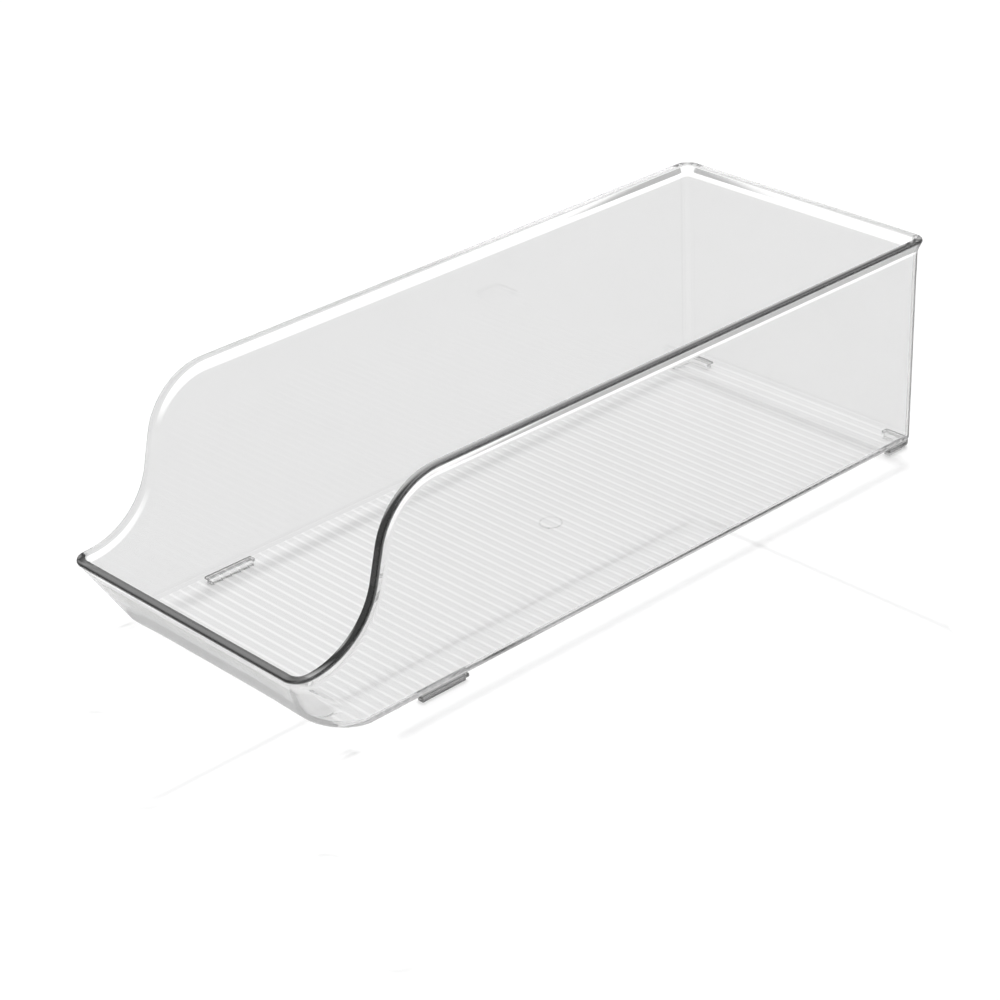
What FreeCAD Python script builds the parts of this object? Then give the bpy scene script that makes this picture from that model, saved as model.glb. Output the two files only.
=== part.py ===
"""Can storage tray: one clear moulding, drawn as its separate moulded members.

Millimetres, +Z up. The low lip is at the front, -Y. The origin is on the surface that the
feet stand on, under the middle of the rim.
"""
import FreeCAD, Part
import math
import os
import re

import Sketcher

SHEET = "Sizes"
SPARE_CELL = "E1"

SIZES = [
    ("tray_length", 368.0, "over the rim, front to back"),
    ("tray_width", 146.0, "over the rim, side to side"),
    ("tray_height", 103.0, "surface to the top of the rim"),
    ("lip_height", 39.0, "surface to the top of the front lip"),
    ("wall_thickness", 2.0, "side, back and front walls"),
    ("floor_thickness", 2.2, "floor between its ribs"),
    ("draft_angle", 0.5, "lean of the side and back walls, degrees"),
    ("front_slant", 28.0, "lean of the front wall, degrees from upright"),
    ("rear_corner_radius", 5.0, "outside of the back corners, in plan"),
    ("lip_corner_radius", 6.0, "outside of the front corners at the lip, in plan"),
    ("floor_corner_radius", 22.0, "outside of the front corners at the floor, in plan"),
    ("side_bend_radius", 3.0, "outside of the bend from floor to side and back walls"),
    ("front_bend_radius", 21.0, "outside of the bend from floor to front wall"),
    ("curve_lower_radius", 36.5, "hollow part of the side walls' falling edge"),
    ("curve_upper_radius", 30.5, "round part of the side walls' falling edge"),
    ("curve_steepness", 76.0, "steepest slope of the falling edge, degrees"),
    ("rim_width", 4.0, "rim bead, side to side"),
    ("rim_depth", 4.0, "rim bead, top to bottom"),
    ("rim_overhang", 2.0, "rim bead past the outside of the wall"),
    ("rim_round", 1.5, "rounding of the rim bead"),
    ("foot_height", 3.2, "surface to the underside of the floor"),
    ("foot_thickness", 3.0, "stacking part of a foot"),
    ("foot_shoulder_drop", 0.5, "shoulder below the underside of the floor"),
    ("foot_shoulder_rise", 2.2, "shoulder above the underside of the floor"),
    ("foot_end_step", 0.8, "shoulder past the stacking part at each end"),
    ("stack_clearance", 0.4, "foot to the inside of the rim of a tray below"),
    ("front_foot_setback", 63.5, "front of the lip to a front foot"),
    ("front_foot_length", 24.8, "front foot, front to back"),
    ("back_foot_leg", 16.0, "each leg of an L-shaped back foot"),
    ("rib_pitch", 4.8, "one floor rib to the next"),
    ("rib_width", 1.6, "floor rib at its root"),
    ("rib_height", 0.4, "floor rib above the floor"),
    ("rib_end_gap", 5.0, "rib ends to the side walls"),
    ("rib_field_gap", 6.0, "first and last rib to the flat floor's ends"),
    ("gate_diameter", 10.0, "gate mark under the floor"),
    ("gate_height", 0.4, "gate mark below the floor"),
    ("gate_right", 4.5, "gate mark right of the middle"),
    ("gate_back", 12.5, "gate mark behind the middle"),
]

DERIVED = [
    ("top_level", "=tray_height - rim_depth", "underside of the rim bead"),
    ("lip_level", "=lip_height - rim_depth", "underside of the lip's bead"),
    ("floor_level", "=foot_height + floor_thickness", "top of the floor"),
    ("split_level", "=foot_height + side_bend_radius", "where the walls stand on the floor pan"),
    ("half_width", "=tray_width / 2 - rim_overhang", "outside of a side wall, at its top"),
    ("half_length", "=tray_length / 2 - rim_overhang", "outside of the back wall, at its top"),
    ("lean", "=tan(draft_angle * 1deg)", "draft, per millimetre of height"),
    ("slope", "=tan(front_slant * 1deg)", "front wall, per millimetre of height"),
    ("foot_line", "=half_width - (top_level - foot_height) * lean", "side wall's foot, from the middle"),
    ("back_line", "=half_length - (top_level - foot_height) * lean", "back wall's foot, from the middle"),
    ("front_skin", "=wall_thickness / cos(front_slant * 1deg)", "front wall, measured level"),
    ("front_line", "=half_length - (lip_level - foot_height) * slope", "slanted face at the floor's level"),
    ("bend_reach", "=front_bend_radius * tan((90deg - front_slant * 1deg) / 2)", "slanted face's foot to flat floor"),
    ("curve_start", "=lip_corner_radius + rim_overhang", "front of the lip to the falling edge"),
    ("lip_half_width", "=half_width - (top_level - lip_level) * lean", "outside of a side wall at the lip"),
    ("stack_line", "=tray_width / 2 - rim_width - stack_clearance", "outside of the feet's stacking part"),
    ("stack_back", "=tray_length / 2 - rim_width - stack_clearance", "back of the feet's stacking part"),
    ("step_level", "=foot_height - foot_shoulder_drop", "shoulder of a foot"),
    ("rib_first", "=front_line - bend_reach - rib_field_gap", "first rib, before the middle"),
    ("rib_last", "=back_line - side_bend_radius - rib_field_gap", "last rib, behind the middle"),
    ("rib_count", "=floor((rib_first + rib_last) / rib_pitch) + 1", "ribs on the floor"),
    ("mitre_reach", "=front_bend_radius + floor_corner_radius", "walls' mitres, in from the lip's corners"),
    ("cut_margin", "=rim_depth", "how far cutting shapes run past the walls"),
]

NEAR = 0.01

doc = FreeCAD.newDocument("can_storage_tray")
nodes = []


def make_sheet():
    """Driving sizes first, then the values worked out from them."""
    sheet = doc.addObject("Spreadsheet::Sheet", SHEET)
    for row, (alias, value, note) in enumerate(SIZES + DERIVED, start=1):
        sheet.set(f"A{row}", alias)
        sheet.set(f"B{row}", str(value))
        sheet.set(f"C{row}", note)
        sheet.setAlias(f"B{row}", alias)
    doc.recompute()
    return sheet


ALIASES = {row[0] for row in SIZES + DERIVED}


def tied(formula):
    """The same formula, with each size looked up in the sheet."""
    return re.sub(r"[a-z_]+", lambda word: f"{SHEET}.{word[0]}" if word[0] in ALIASES else word[0], formula)


def worked_out(formula):
    """The formula's value now, in millimetres or degrees, from a spare cell of the sheet."""
    sheet = doc.getObject(SHEET)
    sheet.set(SPARE_CELL, f"={formula}")
    sheet.recompute()
    value = sheet.get(SPARE_CELL)
    sheet.clear(SPARE_CELL)
    return float(getattr(value, "Value", value))


def bind(thing, **formulas):
    """Tie properties to the sheet; a double underscore stands for a dot."""
    for name, formula in formulas.items():
        thing.setExpression(name.replace("__", "."), tied(formula))


def keep(thing, label):
    """Name a finished sub-part after the node that it is written to."""
    thing.Label = label
    nodes.append(thing)
    return thing


# Plain solids and booleans

def box(name, low, high):
    """A box between two corners, each given as three formulas."""
    block = doc.addObject("Part::Box", name)
    bind(block, Length=f"({high[0]}) - ({low[0]})", Width=f"({high[1]}) - ({low[1]})",
         Height=f"({high[2]}) - ({low[2]})")
    bind(block, Placement__Base__x=low[0], Placement__Base__y=low[1], Placement__Base__z=low[2])
    return block


def cut(name, base, tool):
    result = doc.addObject("Part::Cut", name)
    result.Base = base
    result.Tool = tool
    return result


def fuse(name, base, tool):
    result = doc.addObject("Part::Fuse", name)
    result.Base = base
    result.Tool = tool
    return result


def common(name, base, tool):
    result = doc.addObject("Part::Common", name)
    result.Base = base
    result.Tool = tool
    return result


def mirrored(name, source):
    """The left-hand twin of a right-hand sub-part."""
    twin = doc.addObject("Part::Mirroring", name)
    twin.Source = source
    twin.Normal = FreeCAD.Vector(1, 0, 0)
    return twin


def ends_of(edge):
    return edge.valueAt(edge.FirstParameter), edge.valueAt(edge.LastParameter)


def rounded(name, base, choose):
    """Round the edges for which choose(edge) gives a radius, or one for each of its ends."""
    doc.recompute()
    result = doc.addObject("Part::Fillet", name)
    result.Base = base
    picked = []
    for number, edge in enumerate(base.Shape.Edges, start=1):
        radii = choose(edge)
        if radii:
            picked.append((number, radii[0], radii[-1]))
    result.Edges = picked
    return result


def wedge(name, turn, base, top, level):
    """A block whose two ends differ: base and top are (x low, x high, z low, z high)."""
    block = doc.addObject("Part::Wedge", name)
    bind(block, Xmin=base[0], Xmax=base[1], Zmin=base[2], Zmax=base[3], Ymin=level[0],
         X2min=top[0], X2max=top[1], Z2min=top[2], Z2max=top[3], Ymax=level[1])
    block.Placement = FreeCAD.Placement(FreeCAD.Vector(), turn)
    return block


# The tray's form: outside and inside, each with its bends

UPRIGHT = FreeCAD.Rotation(FreeCAD.Vector(1, 0, 0), 90)


def across_at(level, inset):
    return f"(half_width - ({inset}) - (top_level - ({level})) * lean)"


def back_at(level, inset):
    return f"(half_length - ({inset}) - (top_level - ({level})) * lean)"


def block_between(name, low, high, inset, front_low, front_high):
    """A drafted block of the tray's plan; its front reach is given at both levels."""
    ends = []
    for level, front in ((low, front_low), (high, front_high)):
        reach = across_at(level, inset)
        ends.append((f"-{reach}", reach, f"-{back_at(level, inset)}", front))
    return wedge(name, UPRIGHT, ends[0], ends[1], (low, high))


def is_upright(edge):
    return edge.BoundBox.ZLength > worked_out("side_bend_radius") * 3


def tray_form(side, inset, front_inset, floor, rim_top):
    """The tray as a solid block, drawn in by inset all round."""
    thin = worked_out(inset)
    rear = worked_out("rear_corner_radius") - thin
    lip = worked_out("lip_corner_radius") - thin
    pan = worked_out("floor_corner_radius") - thin
    side_bend = worked_out("side_bend_radius") - thin
    front_bend = worked_out("front_bend_radius") - thin

    def rear_radius(edge):
        return (rear,) if is_upright(edge) and edge.Vertexes[0].Y > 0 else None

    def front_radii(edge):
        if not is_upright(edge) or edge.Vertexes[0].Y > 0 or abs(edge.Vertexes[0].X) < pan:
            return None
        first, last = ends_of(edge)
        return (pan, lip) if first.z < last.z else (lip, pan)

    floor_z = worked_out(floor)

    def bend_radii(edge):
        box_of = edge.BoundBox
        if box_of.ZMax > floor_z + NEAR:
            return None
        at_front = box_of.YMin < -worked_out("front_line") + worked_out("floor_corner_radius")
        if not at_front or box_of.YLength > worked_out("half_length"):
            return (side_bend,)
        if box_of.YLength < NEAR:
            return (front_bend,)
        first, last = ends_of(edge)
        return (front_bend, side_bend) if first.y < last.y else (side_bend, front_bend)

    front_foot = f"half_length - ({front_inset}) - (lip_level - {floor}) * slope"
    front_top = f"half_length - ({front_inset})"
    low = block_between(f"{side}_pan_block", floor, "lip_level", inset, front_foot, front_top)
    high = block_between(f"{side}_wall_block", "lip_level", rim_top, inset, front_top, front_top)
    low_rear = rounded(f"{side}_pan_rear", low, rear_radius)
    low_corners = rounded(f"{side}_pan_corners", low_rear, front_radii)
    low_bends = rounded(f"{side}_pan_bends", low_corners, bend_radii)
    high_corners = rounded(f"{side}_wall_corners", high, rear_radius)
    return fuse(f"{side}_form", low_bends, high_corners)


# Sketches

def plane_of(body, role):
    return next(f for f in body.Origin.OriginFeatures if f.Role == role)


def sketch_on(body, name, role):
    sketch = body.newObject("Sketcher::SketchObject", name)
    sketch.AttachmentSupport = [(plane_of(body, role), "")]
    sketch.MapMode = "FlatFace"
    return sketch


def line(sketch, start, end):
    return sketch.addGeometry(Part.LineSegment(FreeCAD.Vector(*start, 0), FreeCAD.Vector(*end, 0)), False)


def arc(sketch, centre, radius, first, last):
    """An arc drawn anticlockwise between two angles in degrees."""
    circle = Part.Circle(FreeCAD.Vector(*centre, 0), FreeCAD.Vector(0, 0, 1), radius)
    return sketch.addGeometry(Part.ArcOfCircle(circle, math.radians(first), math.radians(last)), False)


def rule(sketch, *parts):
    return sketch.addConstraint(Sketcher.Constraint(*parts))


def measure(sketch, kind, *parts, formula):
    """A dimension tied to the sheet."""
    number = rule(sketch, kind, *parts, worked_out(formula))
    sketch.setExpression(f"Constraints[{number}]", tied(formula))


def falling_edge(sketch, drop, datum):
    """The side walls' edge: hollow arc, steep run, round arc, drop below the bead's middle.

    The sketch's x runs from the front of the tray to the back. Its y is the height above
    datum. It returns the lower arc and the upper arc.
    """
    start = -worked_out("tray_length / 2 - curve_start")
    low_level = f"lip_height - rim_depth / 2 - ({drop}) - ({datum})"
    high_level = f"tray_height - rim_depth / 2 - ({drop}) - ({datum})"
    low = worked_out(low_level)
    high = worked_out(high_level)
    hollow = worked_out(f"curve_lower_radius + {drop}")
    crown = worked_out(f"curve_upper_radius - {drop}")
    steep = worked_out("curve_steepness")
    lean = math.radians(steep)
    knee = (start + hollow * math.sin(lean), low + hollow * (1 - math.cos(lean)))
    shoulder_z = high - crown * (1 - math.cos(lean))
    shoulder_y = knee[0] + (shoulder_z - knee[1]) / math.tan(lean)
    summit_y = shoulder_y + crown * math.sin(lean)
    lower = arc(sketch, (start, low + hollow), hollow, 270, 270 + steep)
    run = line(sketch, knee, (shoulder_y, shoulder_z))
    upper = arc(sketch, (summit_y, high - crown), crown, 90, 90 + steep)
    rule(sketch, "Tangent", lower, 2, run, 1)
    rule(sketch, "Tangent", run, 2, upper, 2)
    rule(sketch, "Vertical", lower, 3, lower, 1)
    rule(sketch, "Vertical", upper, 3, upper, 1)
    measure(sketch, "Radius", lower, formula=f"curve_lower_radius + {drop}")
    measure(sketch, "Radius", upper, formula=f"curve_upper_radius - {drop}")
    measure(sketch, "DistanceX", lower, 1, -1, 1, formula="tray_length / 2 - curve_start")
    measure(sketch, "DistanceY", -1, 1, lower, 1, formula=low_level)
    measure(sketch, "DistanceY", -1, 1, upper, 1, formula=high_level)
    number = rule(sketch, "Angle", run, lean)
    sketch.setExpression(f"Constraints[{number}]", tied("curve_steepness * 1deg"))
    return lower, upper


def rim_section(body, name, place):
    """The bead's section: square where it stands on the wall's inner edge, rounded elsewhere.

    The sketch's x points outwards and its y upwards, from the bead's middle.
    """
    sketch = sketch_on(body, name, "XZ_Plane")
    across = worked_out("rim_width / 2")
    up = worked_out("rim_depth / 2")
    bend = worked_out("rim_round")
    corners = [(across, -up, 270), (across, up, 0), (-across, up, 90)]
    arcs = []
    for x, y, first in corners:
        centre = (x - math.copysign(bend, x), y - math.copysign(bend, y))
        arcs.append(arc(sketch, centre, bend, first, first + 90))
    under = line(sketch, (-across, -up), (across - bend, -up))
    outside = line(sketch, (across, bend - up), (across, up - bend))
    top = line(sketch, (across - bend, up), (bend - across, up))
    inside = line(sketch, (-across, up - bend), (-across, -up))
    low, high, inner = arcs
    for this, following in ((under, low), (low, outside), (outside, high), (high, top),
                            (top, inner), (inner, inside)):
        rule(sketch, "Tangent", this, 2, following, 1)
    rule(sketch, "Coincident", inside, 2, under, 1)
    rule(sketch, "Horizontal", under)
    rule(sketch, "Vertical", inside)
    rule(sketch, "Horizontal", top)
    rule(sketch, "Equal", low, high)
    rule(sketch, "Equal", low, inner)
    measure(sketch, "Radius", low, formula="rim_round")
    measure(sketch, "DistanceX", inside, 2, -1, 1, formula="rim_width / 2")
    measure(sketch, "DistanceX", -1, 1, outside, 1, formula="rim_width / 2")
    measure(sketch, "DistanceY", under, 1, -1, 1, formula="rim_depth / 2")
    measure(sketch, "DistanceY", -1, 1, top, 1, formula="rim_depth / 2")
    for axis, formula in place.items():
        bind(sketch, **{f"AttachmentOffset__Base__{axis}": formula})
    return sketch


def pipe(body, name, section, path):
    sweep = body.newObject("PartDesign::AdditivePipe", name)
    sweep.Profile = section
    sweep.Spine = path
    sweep.Transition = "Transformed"
    return sweep


# Sub-parts

def shell():
    """The moulding's floor and walls, cut down along the falling edge."""
    outside = tray_form("outer", "0", "0", "foot_height", "top_level")
    inside = tray_form("inner", "wall_thickness", "front_skin", "floor_level", "top_level + cut_margin")
    walls = cut("walls_uncut", outside, inside)
    return outside, cut("walls", walls, edge_cutter())


def edge_cutter():
    """Everything above the walls' falling edge, as one block across the tray."""
    body = doc.addObject("PartDesign::Body", "edge_cutter")
    sketch = sketch_on(body, "edge_outline", "YZ_Plane")
    lower, upper = falling_edge(sketch, "rim_depth / 2", "0")
    front = -worked_out("tray_length / 2 + cut_margin")
    roof = worked_out("tray_height + cut_margin")
    foot = sketch.getPoint(lower, 1)
    summit = sketch.getPoint(upper, 1)
    ledge = line(sketch, (front, foot.y), (foot.x, foot.y))
    back = line(sketch, (summit.x, summit.y), (summit.x, roof))
    top = line(sketch, (summit.x, roof), (front, roof))
    face = line(sketch, (front, roof), (front, foot.y))
    rule(sketch, "Coincident", ledge, 2, lower, 1)
    rule(sketch, "Coincident", upper, 1, back, 1)
    rule(sketch, "Coincident", back, 2, top, 1)
    rule(sketch, "Coincident", top, 2, face, 1)
    rule(sketch, "Coincident", face, 2, ledge, 1)
    rule(sketch, "Horizontal", ledge)
    rule(sketch, "Vertical", back)
    rule(sketch, "Horizontal", top)
    rule(sketch, "Vertical", face)
    measure(sketch, "DistanceX", face, 1, -1, 1, formula="tray_length / 2 + cut_margin")
    measure(sketch, "DistanceY", -1, 1, top, 1, formula="tray_height + cut_margin")
    pad = body.newObject("PartDesign::Pad", "edge_block")
    pad.Profile = sketch
    pad.Midplane = True
    bind(pad, Length="tray_width + cut_margin")
    return body


def walls_and_floor(walls):
    """Share the shell out: a floor pan below, and four walls that meet at mitres."""
    reach = "tray_width"
    pan = box("pan_region", (f"-{reach}", "-tray_length", "0"), (reach, "tray_length", "split_level"))
    keep(common("pan", walls, pan), "floor_panel")
    side = "(half_width - lip_corner_radius - mitre_reach)"
    end = "(half_length - lip_corner_radius - mitre_reach)"
    depth = "(lip_corner_radius + mitre_reach + cut_margin)"
    quarters = [
        ("back_wall", 0, side, end),
        ("left_side_wall", 90, end, side),
        ("front_wall", 180, side, end),
        ("right_side_wall", 270, end, side),
    ]
    for label, turn, half, start in quarters:
        rotation = FreeCAD.Rotation(FreeCAD.Vector(0, 0, 1), turn)
        inner = (f"-{half}", half, "split_level", "tray_height")
        outer = (f"-{half} - {depth}", f"{half} + {depth}", "split_level", "tray_height")
        quarter = wedge(f"{label}_quarter", rotation, inner, outer, (start, f"{start} + {depth}"))
        keep(common(f"{label}_cut", walls, quarter), label)


def side_rims():
    """The bead along a side wall, from the lip's corner up the falling edge to the back."""
    body = doc.addObject("PartDesign::Body", "side_rim")
    path = sketch_on(body, "side_rim_path", "YZ_Plane")
    back_end = "tray_length / 2 - rim_overhang - rear_corner_radius"
    upper = falling_edge(path, "0", "tray_height - rim_depth / 2")[1]
    summit = path.getPoint(upper, 1)
    straight = line(path, (summit.x, summit.y), (worked_out(back_end), summit.y))
    rule(path, "Tangent", straight, 1, upper, 1)
    measure(path, "DistanceX", -1, 1, straight, 2, formula=back_end)
    section = rim_section(body, "side_rim_section", {"z": f"-({back_end})"})
    pipe(body, "side_rim_bead", section, path)
    body.Placement.Rotation = FreeCAD.Rotation(FreeCAD.Vector(0, 1, 0), 1)
    bind(body, Placement__Base__x="tray_width / 2 - rim_width / 2",
         Placement__Base__z="tray_height - rim_depth / 2", Placement__Rotation__Angle="draft_angle * 1deg")
    keep(body, "right_rim")
    keep(mirrored("side_rim_twin", body), "left_rim")


def end_rim(label, facing, half, level, radius):
    """The bead round one end of the tray: corner, straight, corner, all at one level.

    facing is 1 at the back and -1 at the front. half is the bead's middle at the sides and
    radius is its middle round a corner.
    """
    body = doc.addObject("PartDesign::Body", f"{label}_body")
    path = sketch_on(body, f"{label}_path", "XY_Plane")
    bind(path, AttachmentOffset__Base__z=level)
    end = "tray_length / 2 - rim_width / 2"
    bend = worked_out(radius)
    end_y = facing * worked_out(end)
    centre_x = worked_out(half) - bend
    centre_y = end_y - facing * bend
    right_first, left_first = (0, 90) if facing > 0 else (270, 180)
    right = arc(path, (centre_x, centre_y), bend, right_first, right_first + 90)
    left = arc(path, (-centre_x, centre_y), bend, left_first, left_first + 90)
    straight = line(path, (centre_x, end_y), (-centre_x, end_y))
    # An arc's point 1 is where it starts and point 2 where it ends, anticlockwise.
    right_free, right_join = (1, 2) if facing > 0 else (2, 1)
    left_free, left_join = right_join, right_free
    rule(path, "Tangent", right, right_join, straight, 1)
    rule(path, "Tangent", straight, 2, left, left_join)
    rule(path, "Equal", right, left)
    rule(path, "Horizontal", straight)
    rule(path, "Horizontal", right, 3, right, right_free)
    rule(path, "Horizontal", left, 3, left, left_free)
    measure(path, "Radius", right, formula=radius)
    measure(path, "DistanceX", -1, 1, right, right_free, formula=half)
    measure(path, "DistanceX", left, left_free, -1, 1, formula=half)
    middle_to_end = (-1, 1, straight, 1) if facing > 0 else (straight, 1, -1, 1)
    measure(path, "DistanceY", *middle_to_end, formula=end)
    section = rim_section(body, f"{label}_section", {
        "x": half, "y": level, "z": f"{-facing} * ({end} - ({radius}))"})
    pipe(body, f"{label}_bead", section, path)
    keep(body, label)


def end_rims():
    end_rim("back_rim", 1, "tray_width / 2 - rim_width / 2", "tray_height - rim_depth / 2",
            "rear_corner_radius + rim_overhang - rim_width / 2")
    end_rim("front_lip", -1, "lip_half_width + rim_overhang - rim_width / 2",
            "lip_height - rim_depth / 2", "curve_start - rim_width / 2")


def front_feet(outside):
    """Straight bars under the side walls: a shoulder flush with the wall, then the foot."""
    inner = "stack_line - foot_thickness"
    start = "front_foot_setback - tray_length / 2"
    end = f"{start} + front_foot_length"
    shoulder = box("front_shoulder", (inner, start, "step_level"),
                   ("foot_line", end, "foot_height + foot_shoulder_rise"))
    stem = box("front_stem", (inner, f"{start} + foot_end_step", "0"),
               ("stack_line", f"{end} - foot_end_step", "step_level"))
    whole = fuse("front_foot_block", shoulder, stem)
    foot = keep(cut("front_foot", whole, outside), "front_right_foot")
    keep(mirrored("front_foot_twin", foot), "front_left_foot")


def angle_block(name, right, back, radius, trim, level):
    """An L of foot_thickness legs round the back corner, its outer corner rounded."""
    left = f"foot_line - back_foot_leg + {trim}"
    front = f"back_line - back_foot_leg + {trim}"
    full = box(f"{name}_full", (left, front, level[0]), (right, back, level[1]))
    spare = box(f"{name}_spare", (f"{left} - cut_margin", f"{front} - cut_margin", f"{level[0]} - cut_margin"),
                ("stack_line - foot_thickness", "stack_back - foot_thickness", f"{level[1]} + cut_margin"))
    corner = FreeCAD.Vector(worked_out(right), worked_out(back), 0)

    def corner_radius(edge):
        first, last = ends_of(edge)
        upright = abs(last.z - first.z) > NEAR
        return (radius,) if upright and math.dist((first.x, first.y), (corner.x, corner.y)) < NEAR else None

    return cut(name, rounded(f"{name}_round", full, corner_radius), spare)


def back_feet(outside):
    """L-shaped feet that follow the back corners."""
    rear = worked_out("rear_corner_radius")
    inset = worked_out("foot_line - stack_line")
    shoulder = angle_block("back_shoulder", "foot_line", "back_line", rear, "0",
                           ("step_level", "foot_height + foot_shoulder_rise"))
    stem = angle_block("back_stem", "stack_line", "stack_back", rear - inset, "foot_end_step",
                       ("0", "step_level"))
    whole = fuse("back_foot_block", shoulder, stem)
    foot = keep(cut("back_foot", whole, outside), "back_right_foot")
    keep(mirrored("back_foot_twin", foot), "back_left_foot")


def floor_ribs():
    """Low round ribs across the floor, evenly spaced from front to back."""
    body = doc.addObject("PartDesign::Body", "rib_field")
    body.AllowCompound = True
    sketch = sketch_on(body, "rib_outline", "YZ_Plane")
    first = -worked_out("rib_first")
    level = worked_out("floor_level")
    half = worked_out("rib_width / 2")
    rise = worked_out("rib_height")
    radius = (half * half + rise * rise) / (2 * rise)
    spread = math.degrees(math.asin(half / radius))
    crown = arc(sketch, (first, level + rise - radius), radius, 90 - spread, 90 + spread)
    root = line(sketch, (first - half, level), (first + half, level))
    rule(sketch, "Coincident", root, 1, crown, 2)
    rule(sketch, "Coincident", root, 2, crown, 1)
    rule(sketch, "Horizontal", root)
    measure(sketch, "DistanceX", root, 1, root, 2, formula="rib_width")
    measure(sketch, "Radius", crown,
            formula="(rib_width * rib_width / 4 + rib_height * rib_height) / (2 * rib_height)")
    measure(sketch, "DistanceX", crown, 3, -1, 1, formula="rib_first")
    measure(sketch, "DistanceY", -1, 1, root, 1, formula="floor_level")
    pad = body.newObject("PartDesign::Pad", "rib")
    pad.Profile = sketch
    pad.Midplane = True
    bind(pad, Length="2 * (foot_line - wall_thickness - rib_end_gap)")
    row = body.newObject("PartDesign::LinearPattern", "rib_row")
    row.Originals = [pad]
    row.Direction = (plane_of(body, "Y_Axis"), [""])
    row.Mode = "Spacing"
    bind(row, Offset="rib_pitch", Occurrences="rib_count")
    body.Tip = row
    keep(body, "floor_ribs")


def gate_mark():
    """The round witness of the mould's gate, on the underside of the floor."""
    disc = doc.addObject("Part::Cylinder", "gate_disc")
    bind(disc, Radius="gate_diameter / 2", Height="gate_height")
    bind(disc, Placement__Base__x="gate_right", Placement__Base__y="gate_back",
         Placement__Base__z="foot_height - gate_height")
    keep(disc, "gate_mark")


def check_and_write():
    """Stop on anything that failed, then write each sub-part under its own name."""
    doc.recompute()
    for thing in doc.Objects:
        if "Invalid" in thing.State or "Error" in thing.State:
            raise RuntimeError(f"{thing.Label} failed: {thing.State}")
    os.makedirs("parts", exist_ok=True)
    for thing in nodes:
        shape = thing.Shape
        if shape.isNull() or not shape.isValid() or not shape.Solids:
            raise RuntimeError(f"{thing.Label} has no sound solid")
        print(thing.Label, len(shape.Solids), round(shape.Volume, 1))
        shape.exportStep(f"parts/{thing.Label}.step")


make_sheet()
outer_form, tray_walls = shell()
walls_and_floor(tray_walls)
side_rims()
end_rims()
front_feet(outer_form)
back_feet(outer_form)
floor_ribs()
gate_mark()
check_and_write()
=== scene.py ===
"""A clear can storage tray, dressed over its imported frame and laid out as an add-on."""
import math
import bmesh
import bpy
from bpy.props import FloatProperty, FloatVectorProperty, IntProperty, PointerProperty
from mathutils import Matrix, Vector


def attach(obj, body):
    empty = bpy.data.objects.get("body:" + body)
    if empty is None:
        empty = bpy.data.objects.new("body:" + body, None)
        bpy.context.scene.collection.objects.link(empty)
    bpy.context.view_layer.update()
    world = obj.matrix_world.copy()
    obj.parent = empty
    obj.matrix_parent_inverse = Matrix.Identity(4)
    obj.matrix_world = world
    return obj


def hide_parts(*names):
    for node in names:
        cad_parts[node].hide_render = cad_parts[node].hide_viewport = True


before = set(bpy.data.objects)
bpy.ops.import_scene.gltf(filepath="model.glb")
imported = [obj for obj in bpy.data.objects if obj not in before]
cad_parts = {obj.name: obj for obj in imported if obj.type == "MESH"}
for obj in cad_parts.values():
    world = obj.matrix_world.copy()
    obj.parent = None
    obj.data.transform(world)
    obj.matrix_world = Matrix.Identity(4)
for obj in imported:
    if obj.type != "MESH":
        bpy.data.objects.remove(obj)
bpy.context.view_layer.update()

bl_info = {
    "name": "Clear Can Storage Tray",
    "version": (1, 0, 0),
    "blender": (4, 5, 0),
    "location": "3D View > Sidebar > Can Tray",
    "description": "Models an open-fronted clear can tray with its rim, ribs and feet",
    "category": "Add Mesh",
}

MM = 0.001

# Zones of the tray's outline, from the middle of the front to the middle of the back
FRONT, FRONT_CORNER, SIDE, BACK_CORNER, BACK = range(5)

UP = Vector((0, 0, 1))
WHITE = (1, 1, 1, 1)

# Steps along the curves and the walls of one section
BEND_STEPS = 10
ROUND_STEPS = 6
ROOT_STEPS = 8
WALL_STEPS = 4

# Steps along each part of the falling edge, and degrees from one slice to the next at the corners
CURVE_STEPS = 20
FRONT_TURN = 6
BACK_TURN = 10

# Places of the slices along half the lip, along a side behind its curve, and along half the back
LIP_SHARES = (0, 0.25, 0.5, 0.7, 0.8, 0.9, 0.96)
SIDE_SHARES = (0.004, 0.05, 0.2, 0.4, 0.6, 0.8, 0.95, 0.99)
BACK_SHARES = (0.98, 0.9, 0.7, 0.4, 0)

# The front wall's bend at its corners, as a share of the bend in the middle, and the part of half
# the lip in which it gets there
CORNER_BEND = 0.84
BEND_EASE = 0.4

# Where the side walls' slices, which fan out from the front corners, are square again
SPREAD_END = -100 * MM

# Shares of the bead's taper and hollow that are lost on the slanted front wall
FRONT_TAPER_LOSS = 0.32
FRONT_ROOT_LOSS = 0.3

# The welded tray, and what its vertices know of themselves
TRAY = "clear_tray"
# Depth below the rim: it sets the painted glow of caught light, and which faces near the rim dim
# lamps
BELOW_RIM = "below_rim"
# Mark of painted shade round the rim's top outer edge, on the lip's top and in the feet's shoulders
PAINTED_SHADE_MARK = "painted_shade_mark"
# Mark of painted shade in grazed back corners
CORNER_SHADE_MARK = "painted_corner_shade"
SHELL_NODES = ["floor_panel", "floor_ribs", "front_wall", "back_wall", "left_side_wall",
               "right_side_wall", "front_lip", "back_rim", "left_rim", "right_rim"]

# Painted shade, from 0 to 1, in place of clear plastic on the top of the lip, in the feet's shoulders
# and in grazed back corners, and how full the painted shade is round the top edge
LIP_DARK = 0.75
SHOULDER_DARK = 0.85
CORNER_DARK = 0.9
EDGE_FULLNESS = 1.6

# Depth below the rim at which the painted glow of caught light is darkest, how much deeper the front
# wall counts for that glow than it is, and how far behind the lip's corners that fades
DARK_DEPTH = 15.5 * MM
FRONT_DEEPER = 14 * MM
FRONT_FADE = 20 * MM
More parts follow.
